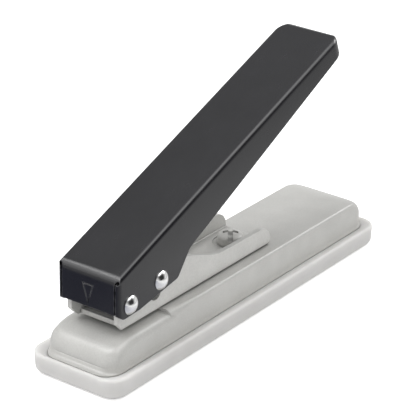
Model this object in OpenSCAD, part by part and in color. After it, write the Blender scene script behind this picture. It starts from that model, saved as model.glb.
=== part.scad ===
// Id card slot punch: a long lever on a channel frame drives a slot punch down through a card.
// Origin at the middle of the tray's underside, +X to the rear, +Z up. +Y is to the right of a user
// who holds the handle and looks toward the punching end. The handle is drawn open, at rest.

/* [Base] */
// Length of the base at its foot
base_l = 179.4; // [170:0.1:190]
// Width of the base at its foot
base_w = 35.4; // [34:0.1:38]
// Height of the rear deck above the table
base_h = 21.5; // [21:0.1:24]
// Thickness of the base's walls and deck
base_wall = 2; // [1.6:0.1:2.2]
// Height of the base's lower edge above the table
base_foot_z = 3.2; // [2.6:0.1:4]
// Plan radius of the base's front corners
base_front_r = 8; // [7.6:0.1:9]
// Plan radius of the base's rear corners
base_rear_r = 8; // [7.6:0.1:10]
// Radius along the top edges of the rear deck
deck_edge_r = 1.3; // [0.9:0.1:2]
// Radius along the top edges of the front deck
nose_edge_r = 4.2; // [3:0.1:4.4]
// Radius along the top edges at the rear end
tail_edge_r = 6; // [4:0.1:6.2]
// Height of the card throat under the frame
throat_h = 1.3; // [1:0.1:1.6]
// Distance from the base's front edge to the card stop
stop_reach = 39.7; // [38:0.1:42]

/* [Chip tray] */
// Width of the tray's rim beside the base
tray_side_rim = 4.7; // [3.6:0.1:6]
// Width of the tray's rim at both ends
tray_end_rim = 2.4; // [2.2:0.1:4.4]
// Height of the tray's outer edge
tray_edge_z = 9.2; // [8.6:0.1:9.6]
// Height of the tray's collar where it meets the base
tray_collar_z = 8.1; // [7.8:0.1:8.8]
// Thickness of the tray's wall and rim
tray_wall = 1.5; // [1.2:0.1:1.8]
// Thickness of the tray's floor
tray_floor = 1.6; // [1.2:0.1:2]
// Plan radius of the tray's corners
tray_corner_r = 7.7; // [7:0.1:9.5]
// Radius round the tray's bottom edge
tray_bottom_r = 2.9; // [2.2:0.1:3.4]

/* [Punch] */
// Length of the punched slot
slot_l = 14; // [12:0.1:15]
// Width of the punched slot
slot_w = 3; // [2.5:0.1:3.4]
// Distance from the card stop to the slot's centre line
slot_setback = 4.8; // [4.4:0.1:5.2]
// Length of the punch's block along the machine
stem_l = 9; // [8.6:0.1:9.4]
// Width of the punch's block beside each end of the slot blade
stem_shoulder = 1; // [0.6:0.1:1.4]
// Thickness of the guide block on each side of the punch
guide_cheek = 2.35; // [2:0.05:2.6]
// Outer diameter of the return springs
spring_d = 6.3; // [5.8:0.1:6.4]
// Wire diameter of the return springs
spring_wire = 0.9; // [0.7:0.05:1]
// Distance of each return spring from the punch
spring_offset = 10.6; // [10.4:0.1:10.8]

/* [Frame] */
// Thickness of the frame's sheet
frame_t = 2; // [1.8:0.1:2.1]
// Distance from the pivot to the frame's front edge
frame_nose = 4.5; // [4.3:0.1:4.8]
// Distance from the punch to the frame's rear end
frame_rear_reach = 77.7; // [77:0.1:84]
// Height of the side flanges at the rear
flange_rear_h = 9.3; // [8.6:0.1:10]
// Height of the side flanges round the mechanism
flange_top_h = 20.7; // [20:0.1:21.2]
// Distance from the punch to the rear frame screw
frame_screw_reach = 66.4; // [63:0.1:67.4]
// Head diameter of the rear frame screw
frame_screw_d = 11; // [9.8:0.1:11.6]

/* [Handle] */
// Distance from the pivot to the handle's far end
handle_reach = 157; // [140:0.1:165]
// Thickness of the washers between the frame and the handle
washer_t = 1.44; // [1.2:0.02:1.6]
// Thickness of the handle's sheet
handle_t = 1.2; // [1:0.05:1.3]
// Height of the handle's top above the pivot, square to the top
handle_top = 14.3; // [14:0.1:14.8]
// Angle of the open handle above the closed one
open_angle = 20.7; // [20:0.1:21]
// Height of the pivot above the rear deck
pivot_h = 12.2; // [12.1:0.1:12.6]
// Distance from the pivot to the drive rivet along the machine
drive_arm = 19; // [18.8:0.1:19.4]
// Height of the open drive rivet above the pivot
drive_rise = 3; // [2.8:0.1:3.2]
// Shank diameter of both rivets
rivet_d = 5; // [4.6:0.1:5.1]
// Head diameter of both rivets
rivet_head_d = 7.9; // [7.4:0.1:9]

/* [Hidden] */
$fn = 48;
// How far a cut runs past the face that it opens
cut_over = 1;
// Gap between parts that slide or turn on each other
run_gap = 0.05;
// Gap between flat parts that pass each other
side_gap = 0.06;
// Gap where the base lifts out of the tray
lift_gap = 0.12;
// Turn of one flat of a rounded corner, in degrees
arc_step = 9;
corner_steps = 10;
// A quarter turn, in degrees
quarter = 90;

// Base: the walls flare out at the foot, and both ends of the deck roll down
foot_side_flare = 0.4;
foot_front_flare = 2.4;
foot_rear_flare = 1.1;
foot_step = 0.5;
flare_h = 2.2;
flare_steps = 4;
cavity_edge_r = 0.3;
foot_top_z = tray_collar_z + foot_step;
flare_top_z = foot_top_z + flare_h;
stop_x = stop_reach - base_l / 2;
stop_slope = 0.15;
nose_z = base_h - throat_h;
nose_roll_l = 15.7;
nose_roll_x = foot_front_flare - base_l / 2 + nose_roll_l;
nose_roll_reach = 16.9;
nose_roll_depth = 10.2;
tail_roll_l = 14;
tail_roll_x = base_l / 2 - foot_rear_flare - tail_roll_l;
tail_roll_reach = 14.6;
tail_roll_depth = 6.9;
tail_blend_l = 13;
soft_half = 6;
soft_steps = 3;
edge_tail = 18;
edge_steps = 4;
roll_steps = 4;
tail_steps = 3;
// Share of the sharp card stop that each ring of the edge radius carries
stop_shares = [0, 0.05, 0.2, 0.45, 0.7, 0.9, 1];
deck_steps = len(stop_shares) - 1;

// Tray
tray_draft = 0.2;
tray_lip_r = 1;
tray_edge_steps = 4;
tray_lip_steps = 4;
tray_pad_l = 3;
tray_pad_out = 0.2;
tray_pad_in = 0.4;
tray_pad_pitch = 40;
tray_pad_count = 4;

// Lever: the drive rivet swings down and a little back, so the punch stands at its middle reach
pivot_z = base_h + pivot_h;
drive_r = norm([drive_arm, drive_rise]);
drive_angle = atan2(drive_rise, drive_arm);
drive_near = drive_r * cos(drive_angle - open_angle);
drive_z = pivot_z + drive_rise;
drive_low_z = pivot_z + drive_r * sin(drive_angle - open_angle);
stroke = drive_z - drive_low_z;
punch_x = stop_x - slot_setback;
pivot_x = punch_x - (drive_r + drive_near) / 2;
drive_x = pivot_x + drive_arm;
drive_play = (drive_r - drive_near) / 2 + run_gap;

// Widths, from the slot out to the handle
stem_gap = 0.05;
guide_side_gap = 0.1;
stem_w = slot_l + 2 * stem_shoulder;
frame_in = stem_w / 2 + stem_gap + guide_cheek + guide_side_gap;
frame_w = 2 * (frame_in + frame_t);
handle_w = frame_w + 2 * (washer_t + side_gap + handle_t);

// Frame
frame_bend_r = 2.5;
web_z = base_h + frame_t;
frame_front_x = pivot_x - frame_nose;
frame_rear_x = punch_x + frame_rear_reach;
frame_screw_x = punch_x + frame_screw_reach;
web_setback = 5.4;
chin_rise = 4.1;
chin_run = 3.9;
chin_r = 0.6;
brow_r = 6;
flange_rear_r = 7;
flange_low_reach = 54.8;
flange_low_rise = 0.3;
flange_low_r = 60;
flange_dip_reach = 39.8;
flange_dip_rise = 0.7;
flange_dip_r = 25;
flange_crest_reach = 10.3;
flange_crest_r = 8;
slot_side_gap = 0.45;
slot_low_gap = 0.25;
slot_clear = 0.3;
dimple_d = 15;
dimple_depth = 0.5;

// Rear frame screw
screw_shank_d = 5;
screw_hole_gap = 0.1;
screw_head_h = 5.5;
screw_head_edge = 1.4;
screw_head_dome = 1.6;
screw_dome_r = 8;
screw_slot_w = 2;
screw_slot_depth = 2.6;
screw_slot_turn = 36;
// The slot that crosses the long one
screw_cross_l = 6.4;
screw_washer_d = 10;
screw_washer_t = 1;
screw_nut_w = 8;
screw_nut_h = 4;
screw_tail = 1;

// Guide block and its fasteners
guide_front_gap = 0.45;
guide_rear_reach = 22.2;
guide_rear_x = punch_x + guide_rear_reach;
guide_h = 10;
guide_shelf_l = 7.2;
guide_shelf_h = 4.5;
guide_floor = 1;
blade_gap = 0.05;
guide_slot_gap = 0.4;
guide_slot_z = drive_low_z - rivet_d / 2 - guide_slot_gap;
spring_pocket_gap = 0.25;
spring_seat_h = 3.5;
guide_screw_setback = 3.7;
guide_screw_inset = 4.2;
guide_screw_x = guide_rear_x - guide_screw_setback;
guide_screw_y = frame_in - guide_screw_inset;
guide_screw_d = 4;
guide_screw_head_d = 6.2;
guide_screw_head_h = 3;
guide_screw_hex_w = 3;
guide_screw_hex_h = 1.8;
guide_screw_tail = 0.6;
guide_nut_w = 7;
guide_nut_h = 3.2;
// The ceiling steps down ahead of the nuts
nut_step_gap = 3.2;
cavity_stop_x = guide_screw_x - guide_nut_w / 2 - nut_step_gap;
dowel_reach = 10.6;
dowel_inset = 3.1;
dowel_x = punch_x + dowel_reach;
dowel_y = frame_in - dowel_inset;
dowel_d = 3;
dowel_sink = 2;
dowel_rise = 4;

// Punch, spring bar and springs
blade_rest_rise = 1.2;
stem_end_gap = 0.2;
stem_top_rise = 6.3;
stem_top_z = drive_z + stem_top_rise;
stem_low_z = web_z + guide_floor + stroke + stem_end_gap;
shear_r = 20;
bar_half_l = 13.6;
bar_half_w = 5;
bar_t = 2.5;
bar_r = 2;
bar_screw_d = 4;
bar_screw_head_d = 7.6;
bar_screw_head_h = 2.2;
bar_screw_rim_h = 0.55;
bar_screw_hex_w = 2.5;
bar_screw_hex_h = 1.2;
bar_screw_reach = 3.2;
spring_turns = 7;
coil_steps = 10;
coil_sides = 6;

// Die
die_front = 11.2;
die_rear = 11.2;
die_side = 5;
die_half_w = slot_l / 2 + die_side;
die_h = 5;
die_land = 3;
die_gap = 0.05;
die_relief = 0.45;
island_end = 2.5;
island_side = 1.5;
island_l = slot_w + 2 * island_end;
island_w = slot_l + 2 * island_side;
island_gap = 0.1;
die_screw_d = 3;
die_screw_head_d = 5.4;
die_screw_front = 7.6;
die_screw_rear = 7.6;
die_screw_hex_w = 2;
die_screw_hex_h = 1.1;
die_screw_stop = 0.3;

// Rivets, spacer and washers
rivet_head_h = 2.3;
rivet_rim_h = 0.35;
spacer_d = 7;
pivot_washer_d = 9.2;
drive_washer_d = 9;

// Handle, in its own frame: origin on the pivot, x along the top, z square to it
flap_tilt = 20.7;
flap_l = 15.2;
flap_x = -2.35;
flap_side = 2.3;
nose_bend_r = 5.5;
handle_edge_r = 2;
handle_rear_r = 7.8;
tail_bend_r = 4;
handle_loaf_depth = 20;
cheek_low = [[-6, -2.9, 3], [3.6, -6.1, 8], [27.8, -10.75, 3], [38.5, -3.9, 6]];
handle_tail_low = 6.9;
notch_gap = 0.6;
notch_top = 1.4;
notch_side = 1.1;
notch_r = 0.8;
mark_half_w = 2.75;
mark_top = 5.4;
mark_h = 8.9;
mark_line = 0.4;
mark_depth = 0.3;

// Vector v turned by an angle about the origin
function turned(v, angle) = [
    v.x * cos(angle) - v.y * sin(angle),
    v.x * sin(angle) + v.y * cos(angle)];

// The corner q of a polygon, rounded with radius r between its neighbours p and s
function corner_arc(p, q, s, r) = r == 0 ? [q] :
    let (u = (p - q) / norm(p - q), v = (s - q) / norm(s - q), half = acos(u * v) / 2)
    let (mid = q + (u + v) / norm(u + v) * r / sin(half))
    let (start = q + u * r / tan(half) - mid, sweep = 180 - 2 * half)
    let (steps = max(2, ceil(sweep / arc_step)), way = cross(u, v) > 0 ? -1 : 1)
    [for (i = [0:steps]) mid + turned(start, way * sweep * i / steps)];

// A polygon from corners [x, y, radius]
function rounded(c) = [for (i = [0:len(c) - 1])
    let (p = c[(i + len(c) - 1) % len(c)], q = c[i], s = c[(i + 1) % len(c)])
    each corner_arc([p.x, p.y], [q.x, q.y], [s.x, s.y], q[2])];

// A value that runs from 0 to 1 with a level start and end
function ease(u) = u <= 0 ? 0 : u >= 1 ? 1 : u * u * (3 - 2 * u);

// Both halves of a ring, from the points of its right half
function whole(half) = concat(half,
    [for (i = [len(half) - 1:-1:0]) [half[i].x, -half[i].y, half[i].z]]);

// Triangles across a ring of n points that starts at point b
function lid(b, n) = [for (i = [0:n / 2 - 2])
    each [[b + i, b + i + 1, b + n - 2 - i], [b + i, b + n - 2 - i, b + n - 1 - i]]];

// Triangles between a ring of n points that starts at point b and the next ring
function band(b, n) = [for (i = [0:n - 1])
    let (c = b + i, d = b + (i + 1) % n)
    each [[c, d, d + n], [c, d + n, c + n]]];

// A solid through rings, closed across the first one and the last one
module skin(halves) {
    n = 2 * len(halves[0]);
    polyhedron(
        points = [for (h = halves) each whole(h)],
        faces = concat(
            [for (f = lid(0, n)) [f[0], f[2], f[1]]],
            [for (k = [0:len(halves) - 2]) each band(k * n, n)],
            lid((len(halves) - 1) * n, n)),
        convexity = 8);
}

// Half ring at one height, with its own corner radii and evenly spaced side points
function tray_ring(end, side, front_r, rear_r, z) = concat(
    [for (i = [0:corner_steps]) let (a = 90 * i / corner_steps)
        [-end + front_r - front_r * cos(a), side - front_r + front_r * sin(a), z]],
    [for (i = [1:roll_steps - 1])
        [-end + front_r + (2 * end - front_r - rear_r) * i / roll_steps, side, z]],
    [for (i = [corner_steps:-1:0]) let (a = 90 * i / corner_steps)
        [end - rear_r + rear_r * cos(a), side - rear_r + rear_r * sin(a), z]]);

tray_half_l = base_l / 2 + tray_end_rim;
tray_half_w = base_w / 2 + tray_side_rim;
function tray_outer(inset, z) = tray_ring(tray_half_l - inset, tray_half_w - inset,
    tray_corner_r - inset, tray_corner_r - inset, z);
function tray_collar(z) = tray_ring(base_l / 2 + lift_gap, base_w / 2 + lift_gap,
    base_front_r + lift_gap, base_rear_r + lift_gap, z);

module chip_tray() {
    inner_r = tray_bottom_r - tray_wall;
    under_z = tray_edge_z - tray_wall;
    color([0.8, 0.8, 0.78])
    union() {
        skin(concat(
            [for (i = [tray_edge_steps:-1:0]) let (t = quarter * i / tray_edge_steps)
                tray_outer(tray_draft + tray_bottom_r * (1 - cos(t)),
                    tray_bottom_r * (1 - sin(t)))],
            [for (i = [0:tray_lip_steps]) let (t = quarter * i / tray_lip_steps)
                tray_outer(tray_lip_r * (1 - cos(t)),
                    tray_edge_z - tray_lip_r * (1 - sin(t)))],
            [tray_collar(tray_collar_z)],
            [tray_collar(tray_collar_z - tray_wall)],
            [tray_outer(tray_wall, under_z)],
            [for (i = [0:tray_edge_steps]) let (t = quarter * i / tray_edge_steps)
                tray_outer(tray_wall + tray_draft + inner_r * (1 - cos(t)),
                    tray_floor + inner_r * (1 - sin(t)))]));
        for (side = [-1, 1])
            for (i = [0:tray_pad_count - 1])
                translate([(i - (tray_pad_count - 1) / 2) * tray_pad_pitch, side * base_w / 2, 0])
                    translate([-tray_pad_l / 2, side > 0 ? -base_wall - tray_pad_in : -tray_pad_out,
                        tray_floor / 2])
                        cube([tray_pad_l, base_wall + tray_pad_in + tray_pad_out,
                            base_foot_z - tray_floor / 2]);
    }
}

// Points of the base's half outline: [corner x, corner y, way x, way y, radius]
function base_spots() = concat(
    [for (i = [0:corner_steps]) let (a = 90 * i / corner_steps)
        [base_front_r - base_l / 2, base_w / 2 - base_front_r, -cos(a), sin(a), base_front_r]],
    [for (x = side_stations()) [x, 0, 0, 1, base_w / 2]],
    [for (i = [corner_steps:-1:0]) let (a = 90 * i / corner_steps)
        [base_l / 2 - base_rear_r, base_w / 2 - base_rear_r, cos(a), sin(a), base_rear_r]]);

function side_stations() = concat(
    [for (i = [1:roll_steps]) let (from = base_front_r - base_l / 2)
        from + (nose_roll_x - from) * i / roll_steps],
    [for (i = [soft_steps:-1:1]) stop_x - soft_half * i / soft_steps],
    [stop_x - stop_slope, stop_x],
    [for (i = [1:soft_steps]) stop_x + soft_half * i / soft_steps],
    [for (i = [1:edge_steps]) stop_x + soft_half + (edge_tail - soft_half) * i / edge_steps],
    [for (i = [0:tail_steps - 1]) let (to = base_l / 2 - base_rear_r)
        tail_roll_x + (to - tail_roll_x) * i / tail_steps]);

function placed(s, end_in, side_in) = [s[0] + s[2] * (s[4] - end_in), s[1] + s[3] * (s[4] - side_in)];

function level_ring(front_in, rear_in, side_in, z) = [for (s = base_spots())
    let (p = placed(s, s[2] < 0 ? front_in : rear_in, side_in))
    [p.x, p.y, z]];

function roll_drop(u, reach, depth) = u <= 0 ? 0 :
    depth * (1 - sqrt(max(0, 1 - (u / reach) * (u / reach))));

// Height of the deck, or of the ceiling one wall below it, at x
function deck_z(x, share, stop, inset) =
    let (sharp = min(1, max(0, (x - stop + stop_slope) / stop_slope)))
    let (soft = ease((x - stop + soft_half) / (2 * soft_half)))
    nose_z - inset + throat_h * (share * sharp + (1 - share) * soft)
    - roll_drop(nose_roll_x - x, nose_roll_reach - inset, nose_roll_depth - inset)
    - roll_drop(x - tail_roll_x, tail_roll_reach - inset, tail_roll_depth - inset);

function edge_r(x) = nose_edge_r
    + (deck_edge_r - nose_edge_r) * ease((x - stop_x + soft_half) / (soft_half + edge_tail))
    + (tail_edge_r - deck_edge_r) * ease((x - base_l / 2 + tail_blend_l) / tail_blend_l);

function flare_ring(i) =
    let (t = quarter * i / flare_steps)
    level_ring(foot_front_flare * sin(t), foot_rear_flare * sin(t), foot_side_flare * sin(t),
        foot_top_z + flare_h * (1 - cos(t)));

function deck_ring(k, inset) =
    let (t = quarter * k / deck_steps, stop = inset > 0 ? cavity_stop_x : stop_x)
    [for (s = base_spots())
        let (r = max(edge_r(placed(s, 0, 0).x) - inset, cavity_edge_r))
        let (d = r * (1 - cos(t)) + inset)
        let (flare = s[2] < 0 ? foot_front_flare : foot_rear_flare)
        let (p = placed(s, d + flare, d + foot_side_flare))
        [p.x, p.y, deck_z(p.x, stop_shares[k], stop, inset) - r * (1 - sin(t))]];

module base_shell() {
    color([0.72, 0.72, 0.7])
    difference() {
        skin(concat(
            [for (k = [deck_steps:-1:0]) deck_ring(k, base_wall)],
            [level_ring(foot_front_flare + base_wall, foot_rear_flare + base_wall,
                foot_side_flare + base_wall, flare_top_z)],
            [level_ring(base_wall, base_wall, base_wall, foot_top_z)],
            [level_ring(base_wall, base_wall, base_wall, base_foot_z)],
            [level_ring(0, 0, 0, base_foot_z)],
            [for (i = [0:flare_steps]) flare_ring(i)],
            [for (k = [0:deck_steps]) deck_ring(k, 0)]));
        translate([frame_screw_x, 0, base_h - base_wall - cut_over])
            cylinder(d = screw_shank_d + 2 * screw_hole_gap, h = base_wall + 2 * cut_over);
        guide_screw_places(base_h - base_wall - cut_over)
            cylinder(d = guide_screw_d + 2 * screw_hole_gap, h = base_wall + 2 * cut_over);
        dowel_places(base_h - dowel_sink)
            cylinder(d = dowel_d, h = dowel_sink + cut_over);
        translate([punch_x - island_l / 2 - island_gap, -island_w / 2 - island_gap,
            nose_z - base_wall - cut_over])
            cube([island_l + 2 * island_gap, island_w + 2 * island_gap, base_wall + 2 * cut_over]);
        die_screw_places() die_screw_cut();
    }
}

module guide_screw_places(z)
    for (side = [-1, 1])
        translate([guide_screw_x, side * guide_screw_y, z])
            children();

module dowel_places(z)
    for (side = [-1, 1])
        translate([dowel_x, side * dowel_y, z])
            children();

// Each die screw's origin is in its own deck face
module die_screw_places() {
    translate([punch_x - die_screw_front, 0, nose_z])
        children();
    translate([punch_x + die_screw_rear, 0, base_h])
        children();
}

die_screw_cone_h = (die_screw_head_d - die_screw_d) / 2;

module die_screw_cut() {
    translate([0, 0, -die_screw_cone_h])
        cylinder(d1 = die_screw_d, d2 = die_screw_head_d, h = die_screw_cone_h);
    cylinder(d = die_screw_head_d, h = cut_over);
    translate([0, 0, -base_h])
        cylinder(d = die_screw_d, h = base_h);
}

// A slot of length l across the machine and width w along it
module across_slot(l, w, h) {
    translate([-w / 2, -(l - w) / 2, 0])
        cube([w, l - w, h]);
    for (side = [-1, 1])
        translate([0, side * (l - w) / 2, 0])
            cylinder(d = w, h = h);
}

die_top_z = nose_z - base_wall;
die_low_z = die_top_z - die_h;

module die_block() {
    color([0.55, 0.55, 0.56])
    difference() {
        union() {
            translate([punch_x - die_front, -die_half_w, die_low_z])
                cube([die_front + die_rear, 2 * die_half_w, die_h]);
            translate([punch_x - island_l / 2, -island_w / 2, die_low_z])
                cube([island_l, island_w, nose_z - die_low_z]);
        }
        translate([punch_x, 0, die_low_z - cut_over])
            across_slot(slot_l + 2 * die_gap, slot_w + 2 * die_gap,
                nose_z - die_low_z + 2 * cut_over);
        translate([punch_x, 0, die_low_z - cut_over])
            across_slot(slot_l + 2 * die_relief, slot_w + 2 * die_relief,
                nose_z - die_land - die_low_z + cut_over);
        for (x = [punch_x - die_screw_front, punch_x + die_screw_rear])
            translate([x, 0, die_low_z - cut_over])
                cylinder(d = die_screw_d, h = die_h + 2 * cut_over);
    }
}

module die_screw(top_z) {
    difference() {
        union() {
            translate([0, 0, -die_screw_cone_h])
                cylinder(d1 = die_screw_d, d2 = die_screw_head_d, h = die_screw_cone_h);
            translate([0, 0, die_low_z + die_screw_stop - top_z])
                cylinder(d = die_screw_d, h = top_z - die_low_z - die_screw_stop - die_screw_cone_h);
        }
        translate([0, 0, -die_screw_hex_h])
            cylinder(d = die_screw_hex_w / cos(30), h = die_screw_hex_h + cut_over, $fn = 6);
    }
}

module die_screws() {
    color([0.3, 0.3, 0.32])
    union() {
        translate([punch_x - die_screw_front, 0, nose_z])
            die_screw(nose_z);
        translate([punch_x + die_screw_rear, 0, base_h])
            die_screw(base_h);
    }
}

function channel_section() =
    let (w = frame_w / 2, h = flange_top_h + cut_over)
    rounded([[-w, 0, frame_bend_r], [w, 0, frame_bend_r], [w, h, 0], [frame_in, h, 0],
        [frame_in, frame_t, frame_bend_r - frame_t], [-frame_in, frame_t, frame_bend_r - frame_t],
        [-frame_in, h, 0], [-w, h, 0]]);

function flange_profile() = rounded([
    [frame_rear_x, base_h, 0],
    [frame_front_x + chin_run, base_h, chin_r],
    [frame_front_x, base_h + chin_rise, chin_r],
    [frame_front_x, base_h + flange_top_h, brow_r],
    [punch_x + flange_crest_reach, base_h + flange_top_h, flange_crest_r],
    [punch_x + flange_dip_reach, base_h + flange_rear_h + flange_dip_rise, flange_dip_r],
    [punch_x + flange_low_reach, base_h + flange_rear_h + flange_low_rise, flange_low_r],
    [frame_rear_x, base_h + flange_rear_h, flange_rear_r]]);

// A rod across the machine
module cross_rod(d, half_l)
    rotate([90, 0, 0])
        cylinder(d = d, h = 2 * half_l, center = true);

module frame_channel() {
    slot_half = rivet_d / 2 + drive_play + slot_side_gap;
    slot_top_z = drive_z + rivet_d / 2 + run_gap;
    slot_low_z = drive_low_z - rivet_d / 2 - slot_low_gap;
    half_over = frame_w / 2 + cut_over;
    color([0.72, 0.72, 0.7])
    difference() {
        intersection() {
            translate([frame_front_x - cut_over, 0, base_h])
                rotate([90, 0, 90])
                    linear_extrude(frame_rear_x - frame_front_x + 2 * cut_over)
                        polygon(channel_section());
            rotate([90, 0, 0])
                linear_extrude(2 * half_over, center = true)
                    polygon(flange_profile());
        }
        translate([frame_front_x - cut_over, -frame_in, base_h - cut_over])
            cube([web_setback + cut_over, 2 * frame_in, frame_bend_r + 2 * cut_over]);
        translate([pivot_x, 0, pivot_z])
            cross_rod(rivet_d, half_over);
        translate([punch_x, 0, slot_top_z - slot_half])
            cross_rod(2 * slot_half, half_over);
        translate([punch_x, 0, slot_low_z + slot_half])
            cross_rod(2 * slot_half, half_over);
        translate([punch_x - slot_half, -half_over, slot_low_z + slot_half])
            cube([2 * slot_half, 2 * half_over, slot_top_z - slot_low_z - 2 * slot_half]);
        translate([punch_x, 0, base_h - cut_over])
            across_slot(slot_l + slot_clear, slot_w + slot_clear, frame_t + 2 * cut_over);
        guide_screw_places(base_h - cut_over)
            cylinder(d = guide_screw_d + 2 * screw_hole_gap, h = frame_t + 2 * cut_over);
        dowel_places(base_h - cut_over)
            cylinder(d = dowel_d, h = frame_t + 2 * cut_over);
        translate([frame_screw_x, 0, base_h - cut_over])
            cylinder(d = screw_shank_d + 2 * screw_hole_gap, h = frame_t + 2 * cut_over);
        translate([frame_screw_x, 0, web_z - dimple_depth])
            cylinder(d = dimple_d, h = dimple_depth + cut_over);
    }
}

module screw_slot(l)
    translate([-l / 2, -screw_slot_w / 2, 0])
        cube([l, screw_slot_w, screw_slot_depth + cut_over]);

module frame_screw() {
    head_r = frame_screw_d / 2;
    seat_z = web_z - dimple_depth;
    nut_low_z = base_h - base_wall - screw_washer_t - screw_nut_h;
    color([0.66, 0.66, 0.64])
    translate([frame_screw_x, 0, 0])
    difference() {
        union() {
            translate([0, 0, seat_z])
                rotate_extrude()
                    polygon(rounded([[0, 0, 0], [head_r, 0, 0],
                        [head_r, screw_head_h - screw_head_dome, screw_head_edge],
                        [head_r / 2, screw_head_h - screw_head_dome / 4, screw_dome_r],
                        [0, screw_head_h, 0]]));
            translate([0, 0, nut_low_z - screw_tail])
                cylinder(d = screw_shank_d, h = seat_z - nut_low_z + screw_tail);
        }
        translate([0, 0, seat_z + screw_head_h - screw_slot_depth])
            rotate([0, 0, screw_slot_turn]) {
                screw_slot(frame_screw_d + 2 * cut_over);
                rotate([0, 0, quarter])
                    screw_slot(screw_cross_l);
            }
    }
}

module frame_washer() {
    color([0.6, 0.6, 0.6])
    translate([frame_screw_x, 0, base_h - base_wall - screw_washer_t])
    difference() {
        cylinder(d = screw_washer_d, h = screw_washer_t);
        translate([0, 0, -cut_over])
            cylinder(d = screw_shank_d + 2 * screw_hole_gap, h = screw_washer_t + 2 * cut_over);
    }
}

module hex_nut(w, d, h) {
    difference() {
        cylinder(d = w / cos(30), h = h, $fn = 6);
        translate([0, 0, -cut_over])
            cylinder(d = d, h = h + 2 * cut_over);
    }
}

module frame_nut() {
    color([0.6, 0.6, 0.6])
    translate([frame_screw_x, 0, base_h - base_wall - screw_washer_t - screw_nut_h])
        hex_nut(screw_nut_w, screw_shank_d, screw_nut_h);
}

spring_seat_z = web_z + spring_seat_h;

module guide_block() {
    front_x = pivot_x + spacer_d / 2 + guide_front_gap;
    half_w = frame_in - guide_side_gap;
    slot_half = rivet_d / 2 + drive_play + slot_side_gap;
    color([0.5, 0.5, 0.52])
    difference() {
        translate([front_x, -half_w, web_z])
            cube([guide_rear_x - front_x, 2 * half_w, guide_h]);
        translate([guide_rear_x - guide_shelf_l, -half_w - cut_over, web_z + guide_shelf_h])
            cube([guide_shelf_l + cut_over, 2 * half_w + 2 * cut_over, guide_h]);
        translate([punch_x - stem_l / 2 - stem_gap, -stem_w / 2 - stem_gap, web_z + guide_floor])
            cube([stem_l + 2 * stem_gap, stem_w + 2 * stem_gap, guide_h]);
        translate([punch_x, 0, web_z - cut_over])
            across_slot(slot_l + 2 * blade_gap, slot_w + 2 * blade_gap, guide_floor + 2 * cut_over);
        translate([punch_x - slot_half, -half_w - cut_over, guide_slot_z])
            cube([2 * slot_half, 2 * half_w + 2 * cut_over, guide_h]);
        for (side = [-1, 1])
            translate([punch_x + side * spring_offset, 0, spring_seat_z])
                cylinder(d = spring_d + 2 * spring_pocket_gap, h = guide_h);
        guide_screw_places(web_z - cut_over)
            cylinder(d = guide_screw_d + 2 * screw_hole_gap, h = guide_h);
        dowel_places(web_z - cut_over)
            cylinder(d = dowel_d, h = dowel_rise + cut_over);
    }
}

module guide_screws() {
    head_z = web_z + guide_shelf_h;
    tail_z = base_h - base_wall - guide_nut_h - guide_screw_tail;
    color([0.25, 0.25, 0.27])
    guide_screw_places(0)
        difference() {
            union() {
                translate([0, 0, head_z])
                    cylinder(d = guide_screw_head_d, h = guide_screw_head_h);
                translate([0, 0, tail_z])
                    cylinder(d = guide_screw_d, h = head_z - tail_z);
            }
            translate([0, 0, head_z + guide_screw_head_h - guide_screw_hex_h])
                cylinder(d = guide_screw_hex_w / cos(30), h = guide_screw_hex_h + cut_over, $fn = 6);
        }
}

module guide_nuts() {
    color([0.6, 0.6, 0.6])
    guide_screw_places(base_h - base_wall - guide_nut_h)
        rotate([0, 0, 30])
            hex_nut(guide_nut_w, guide_screw_d, guide_nut_h);
}

module guide_dowels() {
    color([0.6, 0.6, 0.6])
    dowel_places(base_h - dowel_sink)
        cylinder(d = dowel_d, h = dowel_sink + frame_t + dowel_rise);
}

module punch_blade() {
    tip_z = base_h + blade_rest_rise;
    color([0.7, 0.7, 0.72])
    difference() {
        union() {
            translate([punch_x, 0, tip_z])
                across_slot(slot_l, slot_w, stem_low_z - tip_z + stem_end_gap);
            translate([punch_x - stem_l / 2, -stem_w / 2, stem_low_z])
                cube([stem_l, stem_w, stem_top_z - stem_low_z]);
        }
        translate([punch_x, 0, tip_z - sqrt(shear_r * shear_r - slot_l * slot_l / 4)])
            rotate([0, 90, 0])
                cylinder(r = shear_r, h = slot_w + 2 * cut_over, center = true, $fn = 96);
        for (side = [-1, 1])
            translate([punch_x + side * drive_play, 0, drive_z])
                cross_rod(rivet_d + 2 * run_gap, stem_w / 2 + cut_over);
        translate([punch_x - drive_play, -stem_w / 2 - cut_over, drive_z - rivet_d / 2 - run_gap])
            cube([2 * drive_play, stem_w + 2 * cut_over, rivet_d + 2 * run_gap]);
        translate([punch_x, 0, stem_top_z - bar_screw_reach])
            cylinder(d = bar_screw_d, h = bar_screw_reach + cut_over);
    }
}

module spring_bar() {
    color([0.45, 0.45, 0.47])
    translate([punch_x, 0, stem_top_z])
    difference() {
        linear_extrude(bar_t)
            polygon(rounded([[-bar_half_l, -bar_half_w, bar_r], [bar_half_l, -bar_half_w, bar_r],
                [bar_half_l, bar_half_w, bar_r], [-bar_half_l, bar_half_w, bar_r]]));
        translate([0, 0, -cut_over])
            cylinder(d = bar_screw_d, h = bar_t + 2 * cut_over);
    }
}

// Part of a ball: a head of diameter d and height h, with a straight rim
module domed_head(d, h, rim) {
    rise = h - rim;
    ball_r = (d * d / 4 + rise * rise) / (2 * rise);
    intersection() {
        translate([0, 0, h - ball_r])
            sphere(r = ball_r, $fn = 96);
        cylinder(d = d, h = h + cut_over);
    }
}

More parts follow.
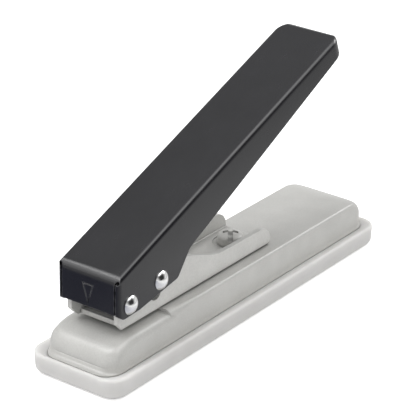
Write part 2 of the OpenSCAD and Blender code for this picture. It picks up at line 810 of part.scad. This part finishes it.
module bar_screw() {
    color([0.25, 0.25, 0.27])
    translate([punch_x, 0, stem_top_z])
    difference() {
        union() {
            translate([0, 0, bar_t])
                domed_head(bar_screw_head_d, bar_screw_head_h, bar_screw_rim_h);
            translate([0, 0, -bar_screw_reach])
                cylinder(d = bar_screw_d, h = bar_screw_reach + bar_t);
        }
        translate([0, 0, bar_t + bar_screw_head_h - bar_screw_hex_h])
            cylinder(d = bar_screw_hex_w / cos(30), h = bar_screw_hex_h + cut_over, $fn = 6);
    }
}

// A coil of wire from height 0 to h
module coil(h) {
    n = spring_turns * coil_steps;
    mean_r = (spring_d - spring_wire) / 2;
    wire_r = spring_wire / 2;
    polyhedron(
        points = [for (i = [0:n]) let (a = 360 * i / coil_steps) for (j = [0:coil_sides - 1])
            let (b = 360 * j / coil_sides + 30, r = mean_r + wire_r * cos(b))
            [r * cos(a), r * sin(a), wire_r + (h - 2 * wire_r) * i / n + wire_r * sin(b)]],
        faces = concat(
            [for (j = [1:coil_sides - 2]) [0, j + 1, j]],
            [for (i = [0:n - 1]) for (j = [0:coil_sides - 1])
                let (p = i * coil_sides + j, q = i * coil_sides + (j + 1) % coil_sides)
                each [[p, q, q + coil_sides], [p, q + coil_sides, p + coil_sides]]],
            [for (j = [1:coil_sides - 2]) let (e = n * coil_sides) [e, e + j, e + j + 1]]),
        convexity = 12);
}

module spring_front() {
    color([0.62, 0.62, 0.64])
    translate([punch_x - spring_offset, 0, spring_seat_z])
        coil(stem_top_z - spring_seat_z);
}

module spring_rear() {
    color([0.62, 0.62, 0.64])
    translate([punch_x + spring_offset, 0, spring_seat_z])
        coil(stem_top_z - spring_seat_z);
}

// A shank across the machine with a domed head outside each seat
module rivet(seat) {
    cross_rod(rivet_d, seat);
    for (side = [-90, 90])
        rotate([side, 0, 0])
            translate([0, 0, seat])
                domed_head(rivet_head_d, rivet_head_h, rivet_rim_h);
}

module ring_pair(d, hole_d, inner, outer) {
    for (side = [-90, 90])
        rotate([side, 0, 0])
            translate([0, 0, inner])
                difference() {
                    cylinder(d = d, h = outer - inner);
                    translate([0, 0, -cut_over])
                        cylinder(d = hole_d, h = outer - inner + 2 * cut_over);
                }
}

module pivot_rivet() {
    color([0.85, 0.85, 0.86])
    translate([pivot_x, 0, pivot_z])
        rivet(handle_w / 2 + side_gap);
}

module pivot_spacer() {
    color([0.6, 0.6, 0.6])
    translate([pivot_x, 0, pivot_z])
    difference() {
        cross_rod(spacer_d, frame_in);
        cross_rod(rivet_d + 2 * run_gap, frame_in + cut_over);
    }
}

module pivot_washers() {
    color([0.6, 0.6, 0.6])
    translate([pivot_x, 0, pivot_z])
        ring_pair(pivot_washer_d, rivet_d + 2 * run_gap, frame_w / 2,
            handle_w / 2 - handle_t - side_gap);
}

module drive_rivet() {
    color([0.85, 0.85, 0.86])
    translate([drive_x, 0, drive_z])
        rivet(handle_w / 2);
}

module drive_washers() {
    color([0.6, 0.6, 0.6])
    translate([drive_x, 0, drive_z])
        ring_pair(drive_washer_d, rivet_d + 2 * run_gap, frame_w / 2 + side_gap,
            handle_w / 2 - handle_t);
}

// A block with rounded top edges that covers the handle's plan, inset on every side
module handle_loaf(inset) {
    r = handle_rear_r - inset;
    e = handle_edge_r - inset;
    top = handle_top - inset;
    hull()
        for (x = [flap_x - flap_l - r, handle_reach - handle_rear_r])
            for (side = [-1, 1])
                translate([x, side * (handle_w / 2 - handle_rear_r), 0])
                    rotate_extrude()
                        polygon(rounded([[0, -handle_loaf_depth, 0], [r, -handle_loaf_depth, 0],
                            [r, top, e], [0, top, 0]]));
}

// A tall block with rounded front corners, upright on the flap's plane and inset on every side
module handle_front(inset) {
    half = handle_w / 2 - inset;
    e = handle_edge_r - inset;
    translate([flap_x, 0, handle_top])
        rotate([0, flap_tilt, 0])
            linear_extrude(2 * handle_reach, center = true)
                polygon(rounded([[inset, -half, e], [inset, half, e],
                    [2 * handle_reach, half, 0], [2 * handle_reach, -half, 0]]));
}

function flap_point(down, in) = [
    flap_x - down * sin(flap_tilt) + in * cos(flap_tilt),
    handle_top - down * cos(flap_tilt) - in * sin(flap_tilt)];

module handle_side(points)
    rotate([90, 0, 0])
        linear_extrude(handle_w + 2 * cut_over, center = true)
            polygon(points);

module handle_body() {
    foot = flap_point(flap_l, 0);
    inner_x = flap_x + handle_t * (1 - sin(flap_tilt)) / cos(flap_tilt);
    inner_low = flap_point(2 * flap_l, handle_t);
    difference() {
        intersection() {
            handle_loaf(0);
            handle_front(0);
            handle_side(rounded(concat([[flap_x, handle_top, nose_bend_r], [foot.x, foot.y, 0]],
                cheek_low, [[handle_reach, handle_tail_low, 0],
                    [handle_reach, handle_top, tail_bend_r]])));
        }
        intersection() {
            handle_loaf(handle_t);
            handle_front(handle_t);
            handle_side(rounded([[inner_x, handle_top - handle_t, nose_bend_r - handle_t],
                [inner_low.x, inner_low.y, 0], [handle_reach - handle_t, inner_low.y, 0],
                [handle_reach - handle_t, handle_top - handle_t, tail_bend_r - handle_t]]));
        }
    }
}

// Cuts round the flap, in its own frame: origin at the top bend, x into the handle
module flap_cuts() {
    flap_half_w = handle_w / 2 - flap_side;
    translate([-cut_over, -flap_half_w, -2 * flap_l])
        cube([2 * handle_t + cut_over, 2 * flap_half_w, flap_l]);
    for (side = [-1, 1]) {
        translate([-cut_over, side > 0 ? flap_half_w : -flap_half_w - notch_gap, -2 * flap_l])
            cube([2 * handle_t + cut_over, notch_gap, 2 * flap_l - notch_top]);
        translate([0, side * (handle_w / 2 - notch_side), -notch_top])
            rotate([0, 90, 0])
                cylinder(r = notch_r, h = 4 * handle_t, center = true);
    }
    translate([0, 0, -mark_top])
        rotate([90, 0, -90])
            translate([0, 0, -mark_depth])
                linear_extrude(mark_depth + cut_over)
                    difference() {
                        polygon([[-mark_half_w, 0], [mark_half_w, 0], [0, -mark_h]]);
                        polygon(mark_inside());
                    }
}

// The triangle one line width inside the mark
function mark_inside() =
    let (tip_half = atan(mark_half_w / mark_h))
    let (side_in = mark_line / cos(tip_half))
    let (half = mark_half_w - side_in - mark_line * tan(tip_half))
    [[-half, -mark_line], [half, -mark_line], [0, -mark_line - half / tan(tip_half)]];

module handle_shell() {
    color([0.2, 0.2, 0.21])
    translate([pivot_x, 0, pivot_z])
    difference() {
        rotate([0, -open_angle, 0])
        difference() {
            handle_body();
            translate([flap_x, 0, handle_top])
                rotate([0, flap_tilt, 0])
                    flap_cuts();
            cross_rod(rivet_d + 2 * run_gap, handle_w);
        }
        translate([drive_arm, 0, drive_rise])
            cross_rod(rivet_d, handle_w);
    }
}

chip_tray();
base_shell();
die_block();
die_screws();
frame_channel();
frame_screw();
frame_washer();
frame_nut();
guide_block();
guide_screws();
guide_nuts();
guide_dowels();
punch_blade();
spring_bar();
bar_screw();
spring_front();
spring_rear();
pivot_rivet();
pivot_spacer();
pivot_washers();
drive_rivet();
drive_washers();
handle_shell();
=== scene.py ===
import math

import bmesh
import bpy
from mathutils import Matrix, Vector


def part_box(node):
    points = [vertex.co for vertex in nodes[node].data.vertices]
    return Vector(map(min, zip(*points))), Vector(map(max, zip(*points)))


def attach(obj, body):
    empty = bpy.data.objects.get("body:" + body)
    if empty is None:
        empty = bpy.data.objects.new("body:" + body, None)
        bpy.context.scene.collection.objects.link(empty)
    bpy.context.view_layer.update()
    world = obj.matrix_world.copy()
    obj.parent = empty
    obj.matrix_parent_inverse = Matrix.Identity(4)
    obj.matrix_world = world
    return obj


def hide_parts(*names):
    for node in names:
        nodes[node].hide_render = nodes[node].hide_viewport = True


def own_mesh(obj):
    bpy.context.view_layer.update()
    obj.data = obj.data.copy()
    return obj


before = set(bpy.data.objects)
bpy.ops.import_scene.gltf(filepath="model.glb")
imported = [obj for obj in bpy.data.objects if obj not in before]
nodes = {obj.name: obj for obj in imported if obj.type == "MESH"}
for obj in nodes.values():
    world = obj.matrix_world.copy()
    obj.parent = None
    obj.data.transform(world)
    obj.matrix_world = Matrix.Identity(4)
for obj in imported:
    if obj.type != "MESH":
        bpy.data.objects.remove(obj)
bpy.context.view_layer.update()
MM = 0.001


bpy.context.scene.view_settings.view_transform = "Standard"


def show(o):
    bpy.context.scene.collection.objects.link(o)


# Camera: the photograph's own viewpoint, in millimetres and degrees
CAMERA_PLACE = (-662.2, -484.7, 426.2)
CAMERA_TURN = -53.53
CAMERA_TILT = 24.95
CAMERA_ROLL = 0.86
CAMERA_LENS = 194.73
CAMERA_SENSOR = 36
# The range of its sight, in metres
CAMERA_NEAR = 0.05
CAMERA_FAR = 20


def make_camera():
    turn, tilt, roll = (math.radians(angle) for angle in (CAMERA_TURN, CAMERA_TILT, CAMERA_ROLL))
    back = Vector((math.sin(turn) * math.cos(tilt), -math.cos(turn) * math.cos(tilt), math.sin(tilt)))
    side = (-back).cross(Vector((0, 0, 1))).normalized()
    top = side.cross(-back)
    right = math.cos(roll) * side + math.sin(roll) * top
    up = -math.sin(roll) * side + math.cos(roll) * top
    data = bpy.data.cameras.new("camera")
    data.sensor_width = CAMERA_SENSOR
    data.lens = CAMERA_LENS
    data.clip_start = CAMERA_NEAR
    data.clip_end = CAMERA_FAR
    camera = bpy.data.objects.new("camera", data)
    pose = Matrix((right, up, back)).transposed().to_4x4()
    pose.translation = Vector(CAMERA_PLACE) * MM
    camera.matrix_world = pose
    show(camera)
    bpy.context.scene.camera = camera


make_camera()


# Shader trees
BEVEL_SAMPLES = 6
CREVICE_SAMPLES = 8
# Cosines between the rounded and the flat normal: inside a face, and where an edge counts in full
FACE_COSINE = 0.985
EDGE_COSINE = 0.90
WHITE = (1, 1, 1, 1)


def grey(v):
    return (v, v, v)


class ShaderTree:
    """The node tree of a material or world, built line by line."""

    def __init__(self, owner, output):
        owner.use_nodes = True
        self.owner = owner
        self.tree = owner.node_tree
        self.tree.nodes.clear()
        self.out = self.new(output)
        self.coords = self.new("TexCoord").outputs

    def new(self, kind, inputs=None, **settings):
        """A node with its settings and its inputs, each given as a value or as another node's socket."""
        n = self.tree.nodes.new("ShaderNode" + kind)
        for name, value in settings.items():
            setattr(n, name, value)
        for key, value in (inputs or {}).items():
            if isinstance(value, bpy.types.NodeSocket):
                self.tree.links.new(value, n.inputs[key])
            else:
                n.inputs[key].default_value = value
        return n

    def scaled(self, scale):
        """The object's coordinates, scaled along each axis."""
        return self.new("Mapping", {"Vector": self.coords["Object"], "Scale": scale}).outputs["Vector"]

    def noise(self, scale, detail=3, rough=0.5, where=None):
        inputs = {"Vector": where or self.coords["Object"], "Scale": scale}
        return self.new("TexNoise", inputs | {"Detail": detail, "Roughness": rough}).outputs["Fac"]

    def ramp(self, value, stops):
        """Colours blended between stops, which are given in order."""
        n = self.new("ValToRGB", {"Fac": value})
        elements = n.color_ramp.elements
        while len(elements) < len(stops):
            elements.new(0.5)
        for element, (position, colour) in zip(elements, stops):
            element.position = position
            element.color = (*colour, 1)
        return n.outputs["Color"]

    def span(self, value, low, high, start=0.0, end=1.0):
        """A number that goes from low to high while value goes from start to end."""
        limits = {"From Min": start, "From Max": end, "To Min": low, "To Max": high}
        return self.new("MapRange", {"Value": value} | limits).outputs["Result"]

    def add(self, a, b):
        return self.new("Math", {0: a, 1: b}, operation="ADD").outputs["Value"]

    def times(self, a, b):
        return self.new("Math", {0: a, 1: b}, operation="MULTIPLY").outputs["Value"]

    def dot(self, a, b):
        return self.new("VectorMath", {0: a, 1: b}, operation="DOT_PRODUCT").outputs["Value"]

    def cover(self, under, colour, amount):
        """A colour covered by a fixed one, from not at all at 0 to fully at 1."""
        return self.new("MixRGB", {0: amount, 1: under, 2: (*colour, 1)}).outputs["Color"]

    def bump(self, height, depth, strength, over=None):
        """The normal of a bumpy surface, laid over another normal where one is given."""
        inputs = {"Height": height, "Distance": depth, "Strength": strength}
        if over is not None:
            inputs["Normal"] = over
        return self.new("Bump", inputs).outputs["Normal"]

    def soft_edge(self, radius):
        """A normal that is rounded along edges."""
        return self.new("Bevel", {"Radius": radius}, samples=BEVEL_SAMPLES).outputs["Normal"]

    def edge_mask(self, soft, cosine=EDGE_COSINE):
        """From 0 inside a face to 1 where the rounded normal leans from the flat one by a cosine."""
        lean = self.dot(soft, self.new("NewGeometry").outputs["Normal"])
        return self.span(lean, 1.0, 0.0, start=cosine, end=FACE_COSINE)

    def wear(self, mask, patches, amount, start, end):
        """Wear of an amount along the masked edges, in patches of a noise between start and end."""
        return self.times(mask, self.span(patches, 0, amount, start, end))

    def crevice(self, reach):
        """0 deep in a gap or corner, 1 in the open."""
        return self.new("AmbientOcclusion", {"Distance": reach}, samples=CREVICE_SAMPLES).outputs["AO"]

    def glow(self, kind, colour, strength):
        """A shader that gives light: Background in a world and Emission in a material."""
        return self.new(kind, {"Color": colour, "Strength": strength}).outputs[kind]

    def surface(self, shader):
        self.tree.links.new(shader, self.out.inputs["Surface"])
        return self.owner

    def principled(self, inputs):
        return self.surface(self.new("BsdfPrincipled", inputs).outputs["BSDF"])

    def by_ray(self, other, glossy, camera):
        """One shader for camera rays, one for glossy rays and one for all others."""
        ray = self.new("LightPath").outputs
        inner = self.new("MixShader", {"Fac": ray["Is Glossy Ray"], 1: other, 2: glossy}).outputs["Shader"]
        outer = self.new("MixShader", {"Fac": ray["Is Camera Ray"], 1: inner, 2: camera}).outputs["Shader"]
        return self.surface(outer)


def material(name):
    return ShaderTree(bpy.data.materials.new(name), "OutputMaterial")


# Materials: the scale of a noise is in features per metre
def grey_paint(name, level, grain, speckle, shade, gap, gap_shade):
    """Textured grey coat. level says how light it is, and grain how fine its texture is. speckle is the
    strength of its specks. shade is the strength of the shade painted into its hollows, and the last
    argument that of the shade painted into its gaps, which counts surfaces closer than gap."""
    speck_grey = (0.36, 0.36, 0.34)
    worn_grey = (0.74, 0.74, 0.72)
    # Colours of the shade painted into hollows and into gaps
    shade_grey = (0.27, 0.27, 0.25)
    gap_shade_grey = (0.05, 0.05, 0.045)
    tint = (1, 0.993, 0.955)
    dark = [0.94 * level * c for c in tint]
    light = [1.06 * level * c for c in tint]
    hollow = 9 * MM
    m = material(name)
    broad = m.noise(90, detail=4)
    fine = m.noise(grain, detail=4, rough=0.68)
    specks = m.noise(2200, rough=0.7)
    soft = m.soft_edge(0.35 * MM)
    worn = m.wear(m.edge_mask(soft), m.noise(260), amount=0.55, start=0.45, end=0.65)
    mottle = m.add(m.times(broad, 0.45), m.times(fine, 0.55))
    colour = m.ramp(mottle, [(0.38, dark), (0.62, light)])
    colour = m.cover(colour, speck_grey, m.span(specks, 0.0, speckle, start=0.58, end=0.72))
    colour = m.cover(colour, worn_grey, worn)
    # Painted shade: darker where other surfaces lie within 9 mm, in hollows and toward the tray's rim
    colour = m.cover(colour, shade_grey, m.span(m.crevice(hollow), shade, 0.0, start=0.35, end=0.95))
    # Painted shade: darkest in narrow gaps, such as the line under the frame's flanges
    colour = m.cover(colour, gap_shade_grey, m.span(m.crevice(gap), gap_shade, 0.0, start=0.25, end=0.85))
    waves = m.bump(m.noise(420, detail=2), depth=0.08 * MM, strength=0.22, over=soft)
    return m.principled({
        "Base Color": colour,
        "Roughness": m.span(broad, 0.27, 0.36),
        "Normal": m.bump(fine, depth=0.05 * MM, strength=0.34, over=waves),
    })


def black_paint():
    """Satin paint with worn edges, and patches that handling has dulled."""
    dark = (0.0085, 0.0085, 0.0105)
    light = (0.0120, 0.0120, 0.0145)
    worn_grey = (0.20, 0.20, 0.205)
    m = material("black_satin_paint")
    broad = m.noise(55, detail=4)
    fine = m.noise(1900, detail=2, rough=0.55)
    handled = m.noise(120, rough=0.6, where=m.scaled((1, 2.4, 1)))
    soft = m.soft_edge(0.4 * MM)
    worn = m.wear(m.edge_mask(soft, 0.88), m.noise(330, detail=4), amount=1, start=0.36, end=0.56)
    colour = m.ramp(broad, [(0.3, dark), (0.7, light)])
    waves = m.bump(m.noise(260, detail=2), depth=0.08 * MM, strength=0.05, over=soft)
    dulled = m.span(handled, 0.0, 0.05, start=0.45, end=0.7)
    return m.principled({
        "Base Color": m.cover(colour, worn_grey, m.times(worn, 0.7)),
        "Roughness": m.add(m.span(broad, 0.20, 0.25), dulled),
        "Normal": m.bump(fine, depth=0.02 * MM, strength=0.04, over=waves),
    })


def tray_plastic():
    """Frosted soft plastic with scuffed edges, in which light scatters."""
    dark = (0.755, 0.738, 0.705)
    light = (0.810, 0.794, 0.762)
    scuffed_white = (0.84, 0.83, 0.81)
    m = material("frosted_tray_plastic")
    broad = m.noise(60)
    fine = m.noise(1300, rough=0.6)
    soft = m.soft_edge(0.5 * MM)
    scuffs = m.wear(m.edge_mask(soft), m.noise(300, detail=4), amount=0.5, start=0.45, end=0.65)
    colour = m.ramp(broad, [(0.3, dark), (0.7, light)])
    return m.principled({
        "Base Color": m.cover(colour, scuffed_white, scuffs),
        "Roughness": m.span(broad, 0.46, 0.58),
        "Normal": m.bump(fine, depth=0.05 * MM, strength=0.28, over=soft),
        "Specular IOR Level": 0.4,
        "IOR": 1.45,
        "Subsurface Weight": 0.85,
        "Subsurface Radius": (6 * MM, 6 * MM, 5.7 * MM),
        "Subsurface Scale": 1.0,
    })


def chrome():
    """Bright plating, a little uneven and with faint scratches."""
    dark = (0.78, 0.78, 0.77)
    light = grey(0.86)
    m = material("rivet_plating")
    broad = m.noise(300)
    scratch = m.noise(900, detail=4, rough=0.7, where=m.scaled((1, 1, 7)))
    waves = m.bump(broad, depth=0.05 * MM, strength=0.25)
    return m.principled({
        "Base Color": m.ramp(broad, [(0.3, dark), (0.7, light)]),
        "Metallic": 1.0,
        "Roughness": m.span(scratch, 0.09, 0.20),
        "Normal": m.bump(scratch, depth=0.01 * MM, strength=0.22, over=waves),
    })


def steel(name, dark, light, rough, grain_scale=(1, 1, 1)):
    """Bare or plated steel with bright edges. Its grain is finest along the axis of the largest scale."""
    bright = [min(1, 1.6 * c) for c in light]
    m = material(name)
    grain = m.noise(1100, detail=4, rough=0.65, where=m.scaled(grain_scale))
    broad = m.noise(160)
    soft = m.soft_edge(0.2 * MM)
    mottle = m.add(m.times(grain, 0.5), m.times(broad, 0.5))
    colour = m.ramp(mottle, [(0.3, dark), (0.7, light)])
    return m.principled({
        "Base Color": m.cover(colour, bright, m.edge_mask(soft)),
        "Metallic": 1.0,
        "Roughness": m.span(grain, rough - 0.07, rough + 0.1),
        "Normal": m.bump(grain, depth=0.015 * MM, strength=0.3, over=soft),
    })


# The last argument of each coat is the strength of the shade painted into its gaps
BASE = grey_paint("grey_base_coat", level=0.550, grain=1500, speckle=0.20, shade=0.05,
                  gap=0.8 * MM, gap_shade=0.30)
FRAME = grey_paint("grey_frame_coat", level=0.610, grain=1000, speckle=0.50, shade=0.0,
                   gap=2.0 * MM, gap_shade=0.95)
BLACK = black_paint()
TRAY = tray_plastic()
CHROME = chrome()
TOOL = steel("ground_tool_steel", grey(0.42), grey(0.56), rough=0.26, grain_scale=(1, 9, 1))
GUIDE = steel("milled_guide_steel", grey(0.22), grey(0.34), rough=0.36, grain_scale=(1, 8, 1))
ZINC = steel("zinc_plate", (0.46, 0.47, 0.50), (0.60, 0.61, 0.62), rough=0.32)
WIRE = steel("spring_wire", grey(0.30), grey(0.46), rough=0.28, grain_scale=(1, 1, 6))
OXIDE = steel("black_oxide", grey(0.035), grey(0.07), rough=0.42)

FINISH = {
    "chip_tray": TRAY, "base_shell": BASE, "die_block": TOOL, "die_screws": OXIDE,
    "frame_channel": FRAME, "frame_screw": FRAME, "frame_washer": ZINC, "frame_nut": ZINC,
    "guide_block": GUIDE, "guide_screws": OXIDE, "guide_nuts": ZINC, "guide_dowels": TOOL,
    "punch_blade": TOOL, "spring_bar": GUIDE, "bar_screw": OXIDE, "spring_front": WIRE,
    "spring_rear": WIRE, "pivot_rivet": CHROME, "pivot_spacer": ZINC, "pivot_washers": ZINC,
    "drive_rivet": CHROME, "drive_washers": ZINC, "handle_shell": BLACK,
}

# Shading: edges that bend by no more degrees than this look smooth
SMOOTH_ANGLE = 31
# Points that round to the same micrometre are one, and a Weld modifier joins those within its reach
MICROMETRES_PER_METRE = 1e6
WELD_REACH = 0.0005 * MM


def shade_by_angle(o):
    """Marks edges as smooth or sharp, also where each face of the CAD mesh has points of its own."""
    mesh = o.data
    if mesh.has_custom_normals:
        with bpy.context.temp_override(object=o, active_object=o, selected_objects=[o]):
            bpy.ops.mesh.customdata_custom_splitnormals_clear()
    spots = [tuple(round(c * MICROMETRES_PER_METRE) for c in v.co) for v in mesh.vertices]
    normals = {}
    for face in mesh.polygons:
        face.use_smooth = True
        corners = list(face.vertices)
        for a, b in zip(corners, corners[1:] + corners[:1]):
            normals.setdefault(frozenset((spots[a], spots[b])), []).append(face.normal.copy())
    limit = math.radians(SMOOTH_ANGLE)
    for edge in mesh.edges:
        sides = normals.get(frozenset(spots[v] for v in edge.vertices), [])
        smooth = len(sides) == 2 and sides[0].angle(sides[1], 0) <= limit
        edge.use_edge_sharp = not smooth
    weld = o.modifiers.new("weld", "WELD")
    weld.merge_threshold = WELD_REACH


for name, o in nodes.items():
    o.data.materials.clear()
    o.data.materials.append(FINISH[name])
    shade_by_angle(o)


# Return springs: drawn wire with a closed turn at each end, in the place of the plain coils
WIRE_RADIUS = 0.45 * MM
CLOSED_TURNS = 1
OPEN_TURNS = 6
STEPS_PER_TURN = 30
WIRE_SIDES = 12


def coil_rings(low, high):
    """The rings of points round a spring's wire, from its lower end to its upper one."""
    centre = (low + high) / 2
    width = 2 * WIRE_RADIUS
    mean = (high.x - low.x) / 2 - WIRE_RADIUS
    pitch = (high.z - low.z - width - 2 * CLOSED_TURNS * width) / OPEN_TURNS
    axis = Vector((0, 0, 1))
    sides = [2 * math.pi * i / WIRE_SIDES for i in range(WIRE_SIDES)]
    rings = []
    for step in range((OPEN_TURNS + 2 * CLOSED_TURNS) * STEPS_PER_TURN + 1):
        turn = step / STEPS_PER_TURN
        lower = min(turn, CLOSED_TURNS)
        middle = min(max(turn - CLOSED_TURNS, 0), OPEN_TURNS)
        upper = max(turn - CLOSED_TURNS - OPEN_TURNS, 0)
        z = width * lower + pitch * middle + width * upper
        angle = 2 * math.pi * turn
        out = Vector((math.cos(angle), math.sin(angle), 0))
        at = Vector((centre.x, centre.y, low.z + WIRE_RADIUS + z)) + mean * out
        rings.append([at + WIRE_RADIUS * (math.cos(b) * out + math.sin(b) * axis) for b in sides])
    return rings


def tube_mesh(name, rings):
    """A closed tube through rings of points, smooth along its length and flat at its ends."""
    bm = bmesh.new()
    rows = [[bm.verts.new(point) for point in ring] for ring in rings]
    for p, q in zip(rows, rows[1:]):
        for corners in zip(p, q, q[1:] + q[:1], p[1:] + p[:1]):
            bm.faces.new(corners)
    bm.faces.new(rows[0])
    bm.faces.new(list(reversed(rows[-1])))
    bmesh.ops.recalc_face_normals(bm, faces=bm.faces)
    mesh = bpy.data.meshes.new(name)
    bm.to_mesh(mesh)
    bm.free()
    for face in mesh.polygons:
        face.use_smooth = len(face.vertices) == 4
    return mesh


def make_spring(node):
    low, high = (Vector(corner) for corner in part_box(node))
    mesh = tube_mesh(node + "_coil", coil_rings(low, high))
    mesh.materials.append(WIRE)
    piece = bpy.data.objects.new(node + "_coil", mesh)
    show(piece)
    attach(piece, "base")
    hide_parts(node)
    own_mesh(piece)


make_spring("spring_front")
make_spring("spring_rear")


# Lamps: two soft square panels that face the machine, in metres and watts
LAMP_TARGET = Vector((0, 0, 0.03))


def make_lamp(name, where, side, power):
    data = bpy.data.lights.new(name, "AREA")
    data.size = side
    data.energy = power
    lamp = bpy.data.objects.new(name, data)
    lamp.location = where
    lamp.rotation_mode = "QUATERNION"
    lamp.rotation_quaternion = (LAMP_TARGET - Vector(where)).to_track_quat("-Z", "Y")
    show(lamp)


make_lamp("front", (-0.46, 0.36, 0.86), side=0.42, power=4.0)
make_lamp("back", (0.86, -0.24, 0.62), side=0.36, power=3.1)

# The room: white to the camera, and an even light for all but glossy rays
ROOM_LEVEL = 0.72
# To glossy rays it has a brightness between the horizon, at 0, and straight above, at 1, times the sum
# of its patches. A patch is a direction, the two cosines from it between which a value changes, and
# the values there: a dark side on the picture's right, then panels overhead, past the machine's rear
# end and past its front end.
ROOM_STOPS = [(0.0, grey(0.95)), (0.5, grey(0.34)), (1.0, grey(1.0))]
DARK_SIDE = ((0.14, -0.94, 0.30), 0.78, 0.94, 1.0, 0.05)
PANELS = [
    ((0.02, -0.28, 0.96), 0.80, 0.97, 0.0, 3.6),
    ((0.73, -0.28, 0.62), 0.93, 0.985, 0.0, 3.2),
    ((-0.60, 0.53, 0.59), 0.93, 0.985, 0.0, 5.0),
]


def make_room():
    world = bpy.data.worlds.new("studio")
    bpy.context.scene.world = world
    m = ShaderTree(world, "OutputWorld")
    ray = m.coords["Generated"]

    def patch(direction, start, end, low, high):
        return m.span(m.dot(ray, Vector(direction).normalized()), low, high, start, end)

    panels = 0.0
    for panel in PANELS:
        panels = m.add(panels, patch(*panel))
    height = m.new("SeparateXYZ", {0: ray}).outputs["Z"]
    m.by_ray(
        other=m.glow("Background", WHITE, ROOM_LEVEL),
        glossy=m.glow("Background", m.ramp(height, ROOM_STOPS), m.add(patch(*DARK_SIDE), panels)),
        camera=m.glow("Background", WHITE, 1.0),
    )


make_room()

# The floor, in metres: a pale plane just under the machine, which glows a little to the camera
FLOOR_REACH = 3
FLOOR_DROP = 0.05 * MM
FLOOR_COLOUR = (0.88, 0.88, 0.88, 1)
FLOOR_GLOW = 0.5
# To glossy rays it has colours along a line from the picture's front left to its right
LINE_X = 0.8
LINE_Y = -0.6
LINE_START = -0.14
LINE_END = 0.30
LINE_STOPS = [(0.0, (0.15, 0.16, 0.25)), (0.43, grey(0.96)), (1.0, grey(0.56))]
LINE_GLOW = 1.1


def floor_material():
    m = material("floor")
    place = m.new("SeparateXYZ", {0: m.coords["Object"]}).outputs
    along = m.add(m.times(place["X"], LINE_X), m.times(place["Y"], LINE_Y))
    colour = m.ramp(m.span(along, 0, 1, LINE_START, LINE_END), LINE_STOPS)
    matt = m.new("BsdfDiffuse", {"Color": FLOOR_COLOUR}).outputs["BSDF"]
    glow = m.glow("Emission", WHITE, FLOOR_GLOW)
    return m.by_ray(
        other=matt,
        glossy=m.glow("Emission", colour, LINE_GLOW),
        camera=m.new("AddShader", {0: matt, 1: glow}).outputs["Shader"],
    )


def make_floor():
    bm = bmesh.new()
    bmesh.ops.create_grid(bm, x_segments=1, y_segments=1, size=FLOOR_REACH)
    mesh = bpy.data.meshes.new("floor")
    bm.to_mesh(mesh)
    bm.free()
    mesh.materials.append(floor_material())
    floor = bpy.data.objects.new("floor", mesh)
    floor.location.z = -FLOOR_DROP
    show(floor)


make_floor()
